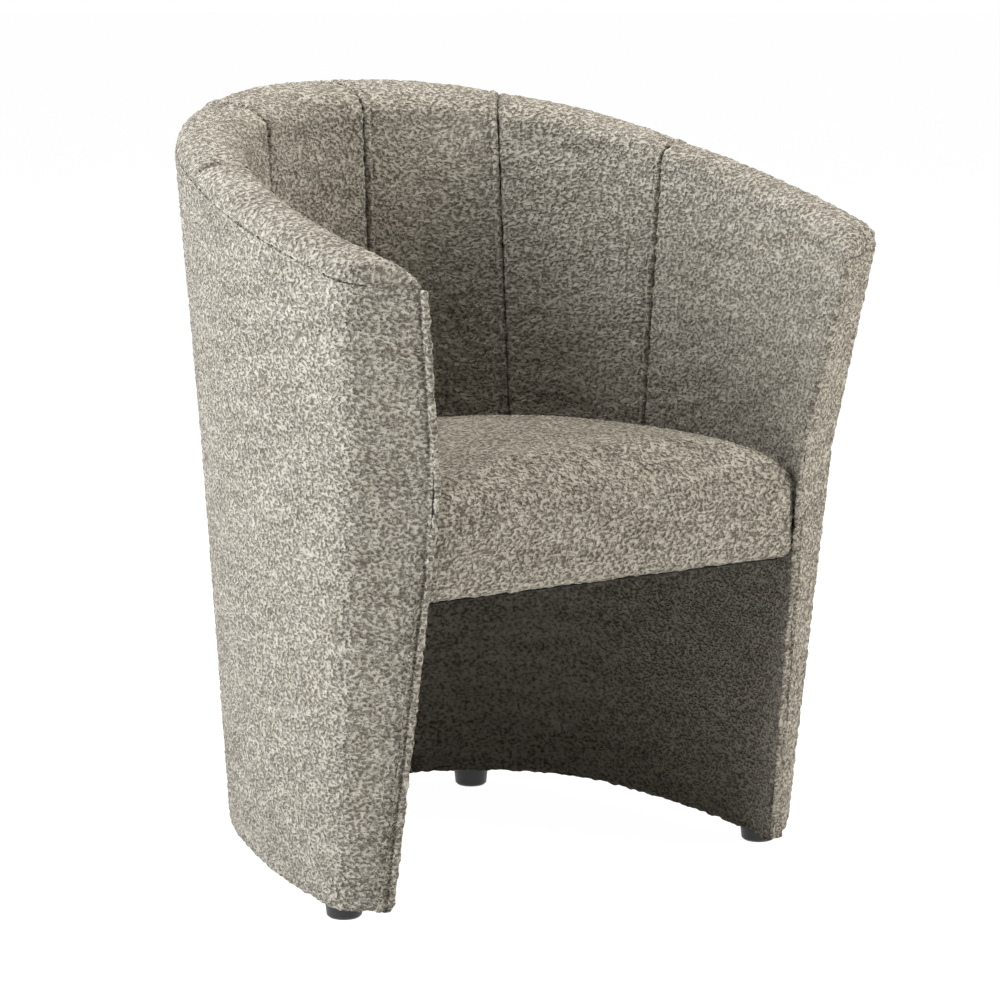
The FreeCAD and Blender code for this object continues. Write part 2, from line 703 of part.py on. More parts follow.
def crest_rise(q):
    """Rim height: a quarter round drop over the last stretch at the arm front."""
    left = (2 - q) * SIDE_LENGTH / V["rim_rise"]
    if left >= 1:
        return V["rim_rise"]
    return V["rim_rise"] * math.sqrt(1 - 0.94 * (1 - left) ** 2)




class Ruled:
    """Plan between two levels, its points on the straight lines of the wall."""

    def __init__(self, low, high, z):
        self.low = low
        self.high = high
        self.share = (z - low.z) / (high.z - low.z)

    def inner_at(self, q, inset, grow):
        a = self.low.inner_at(q, inset, grow)
        b = self.high.inner_at(q, inset, grow)
        return (mix(a[0], b[0], self.share), mix(a[1], b[1], self.share))


SPLIT_LEVEL = Ruled(LEVELS[0], LEVELS[1], SPLIT)
SEARCH = 0.12


class Station:
    """Flat section across the wall at q, through its foot and both rim edges."""

    def __init__(self, q):
        self.q = q
        foot = vec(SPLIT_LEVEL.inner_at(q, FRONT_INSET, 0), SPLIT)
        self.top = inner_base(q, 0)
        self.rim = outer_base(q)
        self.across = (self.rim - self.top).normalize()
        self.normal = (self.top - foot).cross(self.across).normalize()
        self.up = self.across.cross(self.normal)
        if self.up.z < 0:
            self.up = self.up * -1

    def settle(self, place):
        """Point of a curve place(q) that lies in this section."""
        low = self.q - SEARCH
        high = self.q + SEARCH
        sign = 1 if (place(high) - self.top).dot(self.normal) > 0 else -1
        for _ in range(50):
            middle = (low + high) / 2
            if sign * (place(middle) - self.top).dot(self.normal) > 0:
                high = middle
            else:
                low = middle
        return place((low + high) / 2)

    def wall(self, grow):
        foot = self.settle(lambda q: vec(SPLIT_LEVEL.inner_at(q, FRONT_INSET, grow), SPLIT))
        level = LEVELS[1]
        bend = self.settle(lambda q: vec(level.inner_at(q, FRONT_INSET, grow), level.z))
        return foot, bend, self.settle(lambda q: inner_base(q, grow))

    def edge(self, inset):
        return self.rim - self.across * inset

    def crest(self, inner, outer, rise):
        """Points of the rounded rim from the inner edge over the top to the outer edge."""
        middle = (inner + outer) * 0.5
        points = []
        for angle in (180, 135, 90, 45, 0):
            turn = math.radians(angle)
            reach = (outer - middle) * math.cos(turn)
            points.append(middle + reach + self.up * (rise * math.sin(turn)))
        return points


def signed(point, side):
    return Vector(side * point.x, point.y, point.z)


def rim_wire(q, side):
    station = Station(q)
    inner = station.wall(FOAM_OUT)[2]
    points = station.crest(inner, station.edge(WADDING_IN), crest_rise(q) - WADDING_IN)
    points = [signed(point, side) for point in points]
    return Part.Wire([
        bent(points[0], points[1], points[2]),
        bent(points[2], points[3], points[4]),
        straight(points[4], points[0]),
    ])


def panel_wire(q, side, puff):
    """Section of a panel: up the wall, over the rim, back along its inner face."""
    station = Station(q)
    foot, bend, top = station.wall(0)
    half = (bend + top) * 0.5 - station.across * puff
    over = station.crest(top, station.edge(0), crest_rise(q) + CREST_PUFF * puff / V["panel_puff"])
    foot_in, bend_in, top_in = station.wall(V["cover_thick"])
    over_in = station.crest(top_in, station.edge(V["cover_thick"]), crest_rise(q) - V["cover_thick"])
    outside = [signed(point, side) for point in [foot, bend, half] + over]
    inside = [signed(point, side) for point in [foot_in, bend_in] + over_in]
    return Part.Wire([
        straight(outside[0], outside[1]),
        bent(outside[1], outside[2], outside[3]),
        bent(outside[3], outside[4], outside[5]),
        bent(outside[5], outside[6], outside[7]),
        straight(outside[7], inside[6]),
        bent(inside[6], inside[5], inside[4]),
        bent(inside[4], inside[3], inside[2]),
        straight(inside[2], inside[1]),
        straight(inside[1], inside[0]),
        straight(inside[0], outside[0]),
    ])


FRONT_STEPS = [2 - share * V["rim_rise"] / SIDE_LENGTH for share in (1.6, 1.0, 0.6, 0.3, 0.1, 0)]
SEAMS = [0, V["seam_first"], 1 + V["seam_second"], 2]
seam_gap = GAP / SIDE_LENGTH


def panel_stations(index):
    """Stations of a panel from its seam nearer the middle to its other edge."""
    first = SEAMS[index] + seam_gap
    if index < 2:
        last = SEAMS[index + 1] - seam_gap
        return [mix(first, last, share / 8) for share in range(9)]
    spread = [mix(first, FRONT_STEPS[0], share / 9) for share in range(10)]
    return spread + FRONT_STEPS[1:]


RIM_STATIONS = [0] + panel_stations(0)[1:] + panel_stations(1)[1:] + panel_stations(2)[1:]
both_ways = [(q, -1) for q in reversed(RIM_STATIONS)] + [(q, 1) for q in RIM_STATIONS[1:]]
feature("rim_foam", stacked([rim_wire(q, side) for q, side in both_ways]))


def panel(index, side):
    stations = panel_stations(index)
    wires = []
    for q in stations:
        share = (q - stations[0]) / (stations[-1] - stations[0])
        crown = math.sin(math.pi * min(max(share, 0), 1))
        wires.append(panel_wire(q, side, V["seam_crown"] + V["panel_puff"] * crown ** 0.7))
    return stacked(wires)


order = [(2, -1), (1, -1), (0, -1), (0, 1), (1, 1), (2, 1)]
for number, (index, side) in enumerate(order, 1):
    feature("inner_panel_%d" % number, panel(index, side))

# Seat: frame, springs, padding and cover.
def boxed(label, sizes, corner):
    """Rail or pad as a box; each size and corner is an expression on the sheet."""
    box = doc.addObject("Part::Box", label)
    box.Label = label
    for name, text in zip(("Length", "Width", "Height"), sizes):
        box.setExpression(name, text)
    box.Placement = Placement(corner, Rotation())
    return box


def drilled(label, base):
    """Rail with its screw holes."""
    tool = doc.addObject("Part::Feature", label + "_holes")
    tool.Shape = all_seat_holes
    cut = doc.addObject("Part::Cut", label)
    cut.Label = label
    cut.Base = base
    cut.Tool = tool
    nodes.append(cut)
    return cut


share = "(sizes.seat_bottom - sizes.shell_bottom) / (sizes.seat_level - sizes.shell_bottom)"
width = "(sizes.width_base + (sizes.width_seat - sizes.width_base) * %s)" % share
wall = "(sizes.arm_wall_base + (sizes.arm_wall_seat - sizes.arm_wall_base) * %s)" % share
rail_span = "%s - 2 * (%s + sizes.rail_side_set)" % (width, wall)
rail_sizes = (rail_span, "sizes.rail_thick", "sizes.rail_height")
rail = boxed("seat_rail_front", rail_sizes, Vector(-half_span, rail_front, rail_floor))
nodes.append(rail)
side_sizes = ("sizes.rail_thick", "sizes.rail_side_length", "sizes.rail_height")
side_y = rail_front + V["rail_thick"]
side_corner = Vector(half_span - V["rail_thick"], side_y, rail_floor)
drilled("seat_rail_right", boxed("rail_right_blank", side_sizes, side_corner))
side_corner = Vector(-half_span, side_y, rail_floor)
drilled("seat_rail_left", boxed("rail_left_blank", side_sizes, side_corner))
back_sizes = ("sizes.rail_back_length", "sizes.rail_thick", "sizes.rail_height")
back_corner = Vector(-V["rail_back_length"] / 2, rail_back, rail_floor)
drilled("seat_rail_back", boxed("rail_back_blank", back_sizes, back_corner))

blocks = []
for sign in (1, -1):
    x = sign * (half_span - V["rail_thick"])
    corners = [
        Vector(x, side_y, rail_floor),
        Vector(x - sign * V["block_leg"], side_y, rail_floor),
        Vector(x, side_y + V["block_leg"], rail_floor),
    ]
    face = Part.Face(Part.makePolygon(corners + corners[:1]))
    blocks.append(face.extrude(Vector(0, 0, V["rail_height"])))
feature("seat_corner_blocks", Part.makeCompound(blocks))

board_inset = V["cover_thick"] + V["seat_board_set"]
seat_board = stacked([seat_wire(z, board_floor, board_inset) for z in (board_floor, board_top)])
opening_front = seat_front + V["opening_front_set"]
opening = Part.makeBox(V["opening_width"], V["opening_length"], 3 * V["seat_board_thick"])
opening.translate(Vector(-V["opening_width"] / 2, opening_front, board_floor - V["seat_board_thick"]))
feature("seat_board", seat_board.cut(opening))

# Each spring is a sinuous wire that ends straight in a clip at both edges of the opening.
wire_r = V["spring_wire"] / 2
wire_z = board_top + wire_r + GAP
loops = int(round(V["spring_loops"]))
pitch = 2 * V["spring_loop_radius"]
spring_length = V["opening_length"] + 2 * V["clip_length"]
lead = (spring_length - pitch * loops) / 2
spring_start = opening_front - V["clip_length"]


def spring_path(x):
    """Straight runs across, joined by half rounds made of two quarter arcs."""
    reach = V["spring_half_width"] - V["spring_loop_radius"]
    radius = V["spring_loop_radius"]
    edges = []
    y = spring_start + lead
    sign = 1
    point = Vector(x - sign * reach, y, wire_z)
    for _ in range(loops):
        across = Vector(x + sign * reach, y, wire_z)
        edges.append(straight(point, across))
        diagonal = radius * math.sqrt(0.5)
        tip = Vector(across.x + sign * radius, y + radius, wire_z)
        first = Vector(across.x + sign * diagonal, y + radius - diagonal, wire_z)
        second = Vector(across.x + sign * diagonal, y + radius + diagonal, wire_z)
        after = Vector(across.x, y + pitch, wire_z)
        edges.append(bent(across, first, tip))
        edges.append(bent(tip, second, after))
        point = after
        y += pitch
        sign = -sign
    edges.append(straight(point, Vector(x + sign * reach, y, wire_z)))
    return Part.Wire(edges)


def spring(x):
    path = spring_path(x)
    start = path.Edges[0].valueAt(path.Edges[0].FirstParameter)
    ring = Part.Wire([Part.Circle(start, Vector(1, 0, 0), wire_r).toShape()])
    return path.makePipeShell([ring], True, False)


count = int(round(V["spring_count"]))
spring_x = [(index - (count - 1) / 2) * V["spring_pitch"] for index in range(count)]
springs = [spring(x) for x in spring_x]
feature("seat_springs", Part.makeCompound(springs))

clips = []
for x in spring_x:
    for y in (spring_start + lead, spring_start + lead + pitch * loops):
        clip = Part.makeBox(V["clip_width"], V["clip_length"], V["clip_height"])
        clip.translate(Vector(x - V["clip_width"] / 2, y - V["clip_length"] / 2, board_top))
        groove = Part.makeCylinder(wire_r + V["hole_gap"], 2 * V["clip_width"])
        clips.append(clip.cut(aimed(groove, Vector(x - V["clip_width"], y, wire_z), Vector(1, 0, 0))))
feature("spring_clips", Part.makeCompound(clips))

felt_z = board_top + V["clip_height"] + GAP
felt_sizes = (
    "sizes.opening_width + 2 * sizes.felt_margin",
    "sizes.opening_length + 2 * sizes.felt_margin",
    "sizes.felt_thick",
)
felt_corner = Vector(-V["opening_width"] / 2 - V["felt_margin"], opening_front - V["felt_margin"], felt_z)
nodes.append(boxed("spring_felt", felt_sizes, felt_corner))

recess = Part.makeBox(
    V["opening_width"] + 2 * V["felt_margin"] + 2 * GAP,
    V["opening_length"] + 2 * V["felt_margin"] + 2 * GAP,
    V["clip_height"] + V["felt_thick"] + 3 * GAP,
)
recess.translate(felt_corner - Vector(GAP, GAP, felt_z - board_top))
seat_foam = seat_body(board_top + GAP, V["cover_thick"] + GAP, V["cover_thick"] + GAP).cut(recess)
feature("seat_foam", seat_foam)
skin = seat_body(V["seat_bottom"], 0, 0)
hollow = seat_body(V["seat_bottom"], V["cover_thick"], V["cover_thick"])
feature("seat_cover", skin.cut(hollow).cut(all_seat_holes))
dust_inset = V["cover_thick"] + V["seat_tuck"] + GAP
dust_levels = (V["seat_bottom"], V["seat_bottom"] + V["dust_thick"])
feature("seat_dust_cover", stacked([seat_wire(z, V["seat_bottom"], dust_inset) for z in dust_levels]))
feature("seat_screws", Part.makeCompound(seat_screws))
feature("seat_washers", Part.makeCompound(seat_washers))

# Feet: turned discs with a counterbored screw hole.
def role_plane(body, role):
    for item in body.Origin.OriginFeatures:
        if item.Role == role:
            return item
    return None


def turned_foot(label, spot):
    body = doc.addObject("PartDesign::Body", label)
    body.Label = label
    sketch = body.newObject("Sketcher::SketchObject", label + "_profile")
    sketch.AttachmentSupport = [(role_plane(body, "XZ_Plane"), "")]
    sketch.MapMode = "FlatFace"
    bore = "sizes.foot_bore / 2"
    wide = "sizes.foot_counterbore / 2"
    deep = "sizes.foot_counterbore_depth"
    top = "sizes.shell_bottom"
    low = "sizes.foot_bottom_dia / 2"
    profile = [
        (bore, deep, V["foot_bore"] / 2, V["foot_counterbore_depth"]),
        (bore, top, V["foot_bore"] / 2, V["shell_bottom"]),
        ("sizes.foot_top_dia / 2", top, V["foot_top_dia"] / 2, V["shell_bottom"]),
        (low, "sizes.foot_edge", V["foot_bottom_dia"] / 2, V["foot_edge"]),
        (low + " - sizes.foot_edge", "", V["foot_bottom_dia"] / 2 - V["foot_edge"], 0),
        (wide, "", V["foot_counterbore"] / 2, 0),
        (wide, deep, V["foot_counterbore"] / 2, V["foot_counterbore_depth"]),
    ]
    total = len(profile)
    for index in range(total):
        here = profile[index]
        after = profile[(index + 1) % total]
        line = Part.LineSegment(Vector(here[2], here[3], 0), Vector(after[2], after[3], 0))
        sketch.addGeometry(line, False)
    for index in range(total):
        sketch.addConstraint(Sketcher.Constraint("Coincident", index, 2, (index + 1) % total, 1))
    for index, (radius, height, r, z) in enumerate(profile):
        place = sketch.addConstraint(Sketcher.Constraint("DistanceX", -1, 1, index, 1, r))
        sketch.setExpression("Constraints[%d]" % place, radius)
        if height:
            place = sketch.addConstraint(Sketcher.Constraint("DistanceY", -1, 1, index, 1, z))
            sketch.setExpression("Constraints[%d]" % place, height)
        else:
            sketch.addConstraint(Sketcher.Constraint("PointOnObject", index, 1, -1))
    turn = body.newObject("PartDesign::Revolution", label + "_turn")
    turn.Profile = sketch
    turn.ReferenceAxis = (sketch, ["V_Axis"])
    turn.Angle = 360
    doc.recompute()
    body.Placement = Placement(Vector(spot[0], spot[1], 0), Rotation())
    nodes.append(body)


for label, spot in zip(foot_names, foot_spots):
    turned_foot(label, spot)
feature("foot_screws", Part.makeCompound(foot_screws))

doc.recompute()
for item in doc.Objects:
    if "Invalid" in item.State or "Error" in item.State:
        raise RuntimeError("%s did not build" % item.Label)
faulty = []
for item in nodes:
    shape = item.Shape
    if shape.isNull() or not shape.isValid() or not shape.Solids:
        faulty.append(item.Label)
if faulty:
    raise RuntimeError("not a valid solid: %s" % ", ".join(faulty))
for item in nodes:
    item.Shape.exportStep("parts/%s.step" % item.Label)
print("%d nodes written" % len(nodes))
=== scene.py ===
import json
import math

import bmesh
import bpy
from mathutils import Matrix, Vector


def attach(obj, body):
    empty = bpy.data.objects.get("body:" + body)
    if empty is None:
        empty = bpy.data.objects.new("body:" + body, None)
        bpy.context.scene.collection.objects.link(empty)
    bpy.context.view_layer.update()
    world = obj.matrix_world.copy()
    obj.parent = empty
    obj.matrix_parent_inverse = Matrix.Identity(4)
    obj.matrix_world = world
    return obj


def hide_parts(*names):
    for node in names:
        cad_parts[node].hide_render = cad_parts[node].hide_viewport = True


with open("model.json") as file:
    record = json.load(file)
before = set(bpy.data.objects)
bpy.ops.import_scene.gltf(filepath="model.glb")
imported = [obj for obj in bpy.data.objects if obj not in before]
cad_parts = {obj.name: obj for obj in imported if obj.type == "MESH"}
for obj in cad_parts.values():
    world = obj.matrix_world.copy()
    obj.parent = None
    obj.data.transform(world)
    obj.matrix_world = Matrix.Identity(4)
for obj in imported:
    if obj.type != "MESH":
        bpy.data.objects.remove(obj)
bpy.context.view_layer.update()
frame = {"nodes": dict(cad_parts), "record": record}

# Sizes in millimetres. The plan and the walls of the shell are those of the solids.
MM = 0.001
SHELL_BOTTOM = 20
SEAT_LEVEL = 420
BACK_HEIGHT = 770
ARM_HEIGHT = 650
WIDEST_LINES = (-158.5, -122.5, -188.5)
WIDTHS = (545, 594, 665)
OUTER_BACKS = (253, 280, 301)
ARM_WALLS = (45, 62, 53)
BACK_WALLS = (62, 90, 90)
FRONT_BASE = 214.5
FRONT_RAKE = 0.146
FRONT_SLANT = math.radians(29)
ARM_CORNER_RADIUS = 32
BACK_ROUNDNESS = 0.905
RIM_RISE = 30
CREST_PUFF = 2
PANEL_PUFF = 6
COVER_THICK = 3
PANEL_FRONT_SET = 4.3
WALL_SPLIT = 342.3

# Panel seams from the back middle to the arm front, as values of q at the seat and at the rim: they fan out.
SEAMS_BELOW = (0, 0.62, 1.20, 2)
SEAMS_ABOVE = (0, 0.50, 1.12, 2)

# Seat, with a tighter front edge than the solid's.
SEAT_BOTTOM = 312
SEAT_EDGE = 384
SEAT_CROWN = 437
SEAT_DOME_RUN = 175
SEAT_CROWN_LEAD = 0.7
SEAT_SIDE_GAP = 1.5
SEAT_FRONT_SET = 2

ALONG_FRONT = Vector((math.cos(FRONT_SLANT), math.sin(FRONT_SLANT)))
INTO_ARM = Vector((-math.sin(FRONT_SLANT), math.cos(FRONT_SLANT)))


def mix(a, b, share):
    return a + (b - a) * share


def share_between(value, start, end):
    """Share of the way from start to end, kept within 0 and 1."""
    return min(max((value - start) / (end - start), 0), 1)


def front_y(z):
    return -FRONT_BASE - FRONT_RAKE * (z - SHELL_BOTTOM)


def ray_hit(start, heading, center, radius):
    """Point where a ray leaves a circle."""
    off = start - center
    along = off.dot(heading)
    return start + heading * (math.sqrt(along ** 2 - off.length_squared + radius ** 2) - along)


class Bend:
    """Half horseshoe: a side arc that runs into a back arc."""

    def __init__(self, half, back, widest):
        span = back - widest
        self.back_r = BACK_ROUNDNESS * half
        squares = half ** 2 + span ** 2 - 2 * span * self.back_r
        self.side_r = squares / (2 * (half - self.back_r))
        self.side_c = Vector((half - self.side_r, widest))
        self.back_c = Vector((0, back - self.back_r))
        self.joint = math.atan2(self.back_c.y - widest, -self.side_c.x)

    def on_side(self, angle, grow):
        return self.side_c + Vector((math.cos(angle), math.sin(angle))) * (self.side_r + grow)

    def on_back(self, share, grow):
        angle = mix(math.pi / 2, self.joint, share)
        return self.back_c + Vector((math.cos(angle), math.sin(angle))) * (self.back_r + grow)


class Plan:
    """Plan of the right half of the shell at one height."""

    def __init__(self, z):
        low = 0 if z <= SEAT_LEVEL else 1
        heights = (SHELL_BOTTOM, SEAT_LEVEL, BACK_HEIGHT)
        share = (z - heights[low]) / (heights[low + 1] - heights[low])
        widest, half, back, arm_wall, back_wall = [
            mix(sizes[low], sizes[low + 1], share)
            for sizes in (WIDEST_LINES, WIDTHS, OUTER_BACKS, ARM_WALLS, BACK_WALLS)
        ]
        half /= 2
        self.outer = Bend(half, back, widest)
        self.inner = Bend(half - arm_wall, back - back_wall, widest)
        front = front_y(z)
        reach = math.sqrt(self.inner.side_r ** 2 - (front - widest) ** 2)
        self.seam = Vector((self.inner.side_c.x + reach, front))
        inside = self.seam + INTO_ARM * ARM_CORNER_RADIUS
        self.corner = ray_hit(inside, ALONG_FRONT, self.outer.side_c, self.outer.side_r - ARM_CORNER_RADIUS)
        off = self.corner - self.outer.side_c
        self.corner_end = math.atan2(off.y, off.x)

    def inner_front(self, inset, grow):
        """Inner wall moved into the wall by grow, where it meets the arm front moved back by inset."""
        return ray_hit(self.seam + INTO_ARM * inset, ALONG_FRONT, self.inner.side_c, self.inner.side_r + grow)

    def inner_angle(self, q):
        if q <= 1:
            return mix(math.pi / 2, self.inner.joint, q)
        point = self.inner_front(PANEL_FRONT_SET, 0) - self.inner.side_c
        return mix(self.inner.joint, math.atan2(point.y, point.x), q - 1)

    def inner_at(self, q, grow):
        """Inner wall: q 0 at the back middle, 1 where the arcs meet, 2 at the panel's front edge."""
        if q <= 1:
            return self.inner.on_back(q, grow)
        return self.inner.on_side(self.inner_angle(q), grow)

    def corner_at(self, share, inset):
        """Corner of the arm: share 0 on the side, 1 on the arm front."""
        angle = mix(self.corner_end, FRONT_SLANT - math.pi / 2, share)
        return self.corner + Vector((math.cos(angle), math.sin(angle))) * (ARM_CORNER_RADIUS - inset)

    def across(self, q):
        """Outer wall point straight across the wall from q."""
        angle = self.inner_angle(q)
        heading = Vector((math.cos(angle), math.sin(angle)))
        hit = ray_hit(self.inner_at(q, 0), heading, self.outer.back_c, self.outer.back_r)
        turn = math.atan2(hit.y - self.outer.back_c.y, hit.x)
        if turn >= self.outer.joint:
            return hit
        return ray_hit(self.inner_at(q, 0), heading, self.outer.side_c, self.outer.side_r)

    def turn_q(self):
        """Value of q across from the start of the arm's corner."""
        low, high = 1.0, 2.0
        for _ in range(40):
            middle = (low + high) / 2
            if self.across(middle).y > self.corner_at(0, 0).y:
                low = middle
            else:
                high = middle
        return low

    def rim_edge(self, q):
        """Outer wall point where the panel at q ends; near the front it runs round the corner."""
        turn = self.turn_q()
        if q <= turn:
            return self.across(q)
        return self.corner_at((q - turn) / (2 - turn), 0)


BASE, SEAT, TOP = [Plan(z) for z in (SHELL_BOTTOM, SEAT_LEVEL, BACK_HEIGHT)]
SPLIT = Plan(WALL_SPLIT)
CREST_FRONT = front_y(ARM_HEIGHT) + RIM_RISE
CREST_BACK = OUTER_BACKS[2] - BACK_WALLS[2] / 2
RIM_SLOPE = (BACK_HEIGHT - ARM_HEIGHT) / (CREST_BACK - CREST_FRONT)
BACK_LENGTH = SEAT.inner.back_r * (math.pi / 2 - SEAT.inner.joint)
SIDE_LENGTH = SEAT.inner.side_r * (SEAT.inner.joint - SEAT.inner_angle(2))


def rim_base_z(y):
    """Height of the sloping plane that the rounded rim stands on."""
    return ARM_HEIGHT + RIM_SLOPE * (y - CREST_FRONT) - RIM_RISE - CREST_PUFF


def on_rim_base(low, high):
    """Where the wall line through a seat level point and a top level point meets that plane."""
    rise = BACK_HEIGHT - SEAT_LEVEL - RIM_SLOPE * (high.y - low.y)
    share = (rim_base_z(low.y) - SEAT_LEVEL) / rise
    return low.lerp(high, share).to_3d() + Vector((0, 0, mix(SEAT_LEVEL, BACK_HEIGHT, share)))


def wall_line(place, z):
    """Point at height z on the wall line through place(plan) at the three levels."""
    if z <= SEAT_LEVEL:
        share = (z - SHELL_BOTTOM) / (SEAT_LEVEL - SHELL_BOTTOM)
        flat = place(BASE).lerp(place(SEAT), share)
    else:
        share = (z - SEAT_LEVEL) / (BACK_HEIGHT - SEAT_LEVEL)
        flat = place(SEAT).lerp(place(TOP), share)
    return Vector((flat.x, flat.y, z))


def q_at(length):
    """Value of q at a length along the inner wall from the back middle."""
    if length <= BACK_LENGTH:
        return length / BACK_LENGTH
    return 1 + (length - BACK_LENGTH) / SIDE_LENGTH


def length_at(q):
    return q * BACK_LENGTH if q <= 1 else BACK_LENGTH + (q - 1) * SIDE_LENGTH


def even(first, last, step):
    """Evenly spaced values from first to last, both kept."""
    count = max(1, round(abs(last - first) / step))
    return [mix(first, last, index / count) for index in range(count + 1)]


# Mesh helpers.
def swept(sections, closed):
    """Chain of points extruded from section to section; a closed chain has its two ends filled."""
    cloth = bmesh.new()
    chain = [cloth.verts.new(point * MM) for point in sections[0]]
    pairs = list(zip(chain, chain[1:]))
    if closed:
        pairs.append((chain[-1], chain[0]))
    edges = [cloth.edges.new(pair) for pair in pairs]
    ends = [edges]
    for section in sections[1:]:
        grown = bmesh.ops.extrude_edge_only(cloth, edges=edges)["geom"]
        fresh = {item for item in grown if isinstance(item, bmesh.types.BMVert)}
        chain = [
            next(edge.other_vert(corner) for edge in corner.link_edges if edge.other_vert(corner) in fresh)
            for corner in chain
        ]
        for corner, point in zip(chain, section):
            corner.co = point * MM
        edges = [
            item for item in grown
            if isinstance(item, bmesh.types.BMEdge) and item.verts[0] in fresh and item.verts[1] in fresh
        ]
    ends.append(edges)
    if closed:
        for end in ends:
            bmesh.ops.triangle_fill(cloth, use_beauty=True, use_dissolve=False, edges=end)
    bmesh.ops.recalc_face_normals(cloth, faces=cloth.faces)
    return cloth


def mirrored(points):
    return [Vector((-point.x, point.y, point.z)) for point in points]


def both_halves(right):
    """Sections from the left front round to the right front; right begins at the back middle."""
    return [mirrored(section) for section in reversed(right[1:])] + right


def finished(name, shape, material):
    """Object made from a bmesh, smooth shaded, riding on the chair."""
    mesh = bpy.data.meshes.new(name)
    shape.to_mesh(mesh)
    shape.free()
    mesh.polygons.foreach_set("use_smooth", [True] * len(mesh.polygons))
    mesh.materials.append(material)
    piece = bpy.data.objects.new(name, mesh)
    bpy.context.scene.collection.objects.link(piece)
    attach(piece, "root")
    return piece


def subdivided(piece, levels):
    rounded = piece.modifiers.new("rounded", "SUBSURF")
    rounded.levels = levels
    rounded.render_levels = levels


NUB_SIZE = 7.5
NUB_HEIGHT = 2.8
nub_field = bpy.data.textures.new("yarn_nubs", "VORONOI")
nub_field.noise_scale = NUB_SIZE * MM


def nubbed(piece):
    """Yarn nubs of the cloth as real relief."""
    nubs = piece.modifiers.new("nubs", "DISPLACE")
    nubs.texture = nub_field
    nubs.texture_coords = "LOCAL"
    nubs.strength = -NUB_HEIGHT * MM
    nubs.mid_level = 0.45


# Materials.
def linear(code):
    """Linear colour of an sRGB hex value."""
    parts = [int(code[at:at + 2], 16) / 255 for at in (1, 3, 5)]
    return [part / 12.92 if part <= 0.04045 else ((part + 0.055) / 1.055) ** 2.4 for part in parts] + [1]


def node(tree, kind, inputs=None, **settings):
    """Add a node with its settings; inputs are values or the sockets that feed it."""
    added = tree.nodes.new(kind)
    for name, value in settings.items():
        setattr(added, name, value)
    for name, value in (inputs or {}).items():
        if isinstance(value, bpy.types.NodeSocket):
            tree.links.new(value, added.inputs[name])
        else:
            added.inputs[name].default_value = value
    return added


def started(name):
    """Empty node material, its tree and the object coordinates."""
    material = bpy.data.materials.new(name)
    material.use_nodes = True
    tree = material.node_tree
    tree.nodes.clear()
    place = node(tree, "ShaderNodeTexCoord").outputs["Object"]
    return material, tree, place


def closed_off(tree, shader):
    node(tree, "ShaderNodeOutputMaterial", {"Surface": shader.outputs["BSDF"]})


def boucle_cloth():
    """Looped chenille yarn: pale nubs packed close, painted shade darkening the pits between them, a soft
    sheen.
    """
    material, tree, place = started("boucle_cloth")
    laid = node(tree, "ShaderNodeMapping", {"Vector": place, "Scale": (1.0, 1.0, 1.4)})
    nubs = node(
        tree, "ShaderNodeTexNoise",
        {
            "Vector": laid.outputs[0], "Scale": 1 / (3.9 * MM),
            "Detail": 2.0, "Roughness": 0.5, "Distortion": 0.25,
        },
    )
    top = node(
        tree, "ShaderNodeMapRange",
        {"Value": nubs.outputs["Fac"], "From Min": 0.3, "From Max": 0.61, "To Min": 0.0, "To Max": 1.0},
        interpolation_type="SMOOTHSTEP",
    )
    fibre = node(
        tree, "ShaderNodeTexNoise",
        {"Vector": place, "Scale": 1 / (2.4 * MM), "Detail": 3.0, "Roughness": 0.6},
    )
    height = node(
        tree, "ShaderNodeMath",
        {0: fibre.outputs["Fac"], 1: 0.5, 2: top.outputs[0]}, operation="MULTIPLY_ADD",
    )
    streak_place = node(tree, "ShaderNodeMapping", {"Vector": place, "Scale": (1.0, 1.0, 5.0)})
    streaks = node(
        tree, "ShaderNodeTexNoise",
        {"Vector": streak_place.outputs[0], "Scale": 1 / (70 * MM), "Detail": 3.0},
    )
    mottle = node(
        tree, "ShaderNodeMapRange",
        {"Value": streaks.outputs["Fac"], "From Min": 0.3, "From Max": 0.7, "To Min": -0.11, "To Max": 0.11},
    )
    share = node(
        tree, "ShaderNodeMath",
        {0: height.outputs[0], 1: 0.62, 2: mottle.outputs[0]}, operation="MULTIPLY_ADD",
    )
    # Painted shade in the low pits between the nubs, where shade falls, plus a random tone in long streaks.
    painted_pit_shade = node(
        tree, "ShaderNodeMapRange",
        {"Value": share.outputs[0], "From Min": 0.1, "From Max": 0.95, "To Min": 0.14, "To Max": 1.0},
    )
    # Painted shade: the dark brown is the shade colour in the pits between the nubs; the pale colour is the
    # yarn.
    colour = node(
        tree, "ShaderNodeMix",
        {"Factor": painted_pit_shade.outputs[0], "A": linear("#3a2e1a"), "B": linear("#b0aa9e")}, data_type="RGBA",
    )
    relief = node(
        tree, "ShaderNodeBump", {"Strength": 1.0, "Distance": 3.2 * MM, "Height": height.outputs[0]},
    )
    shader = node(
        tree, "ShaderNodeBsdfPrincipled",
        {
            "Base Color": colour.outputs["Result"], "Roughness": 0.92, "Specular IOR Level": 0.2,
            "Sheen Weight": 0.25, "Sheen Roughness": 0.45, "Sheen Tint": linear("#d8d2c6"),
            "Normal": relief.outputs[0],
        },
    )
    closed_off(tree, shader)
    return material


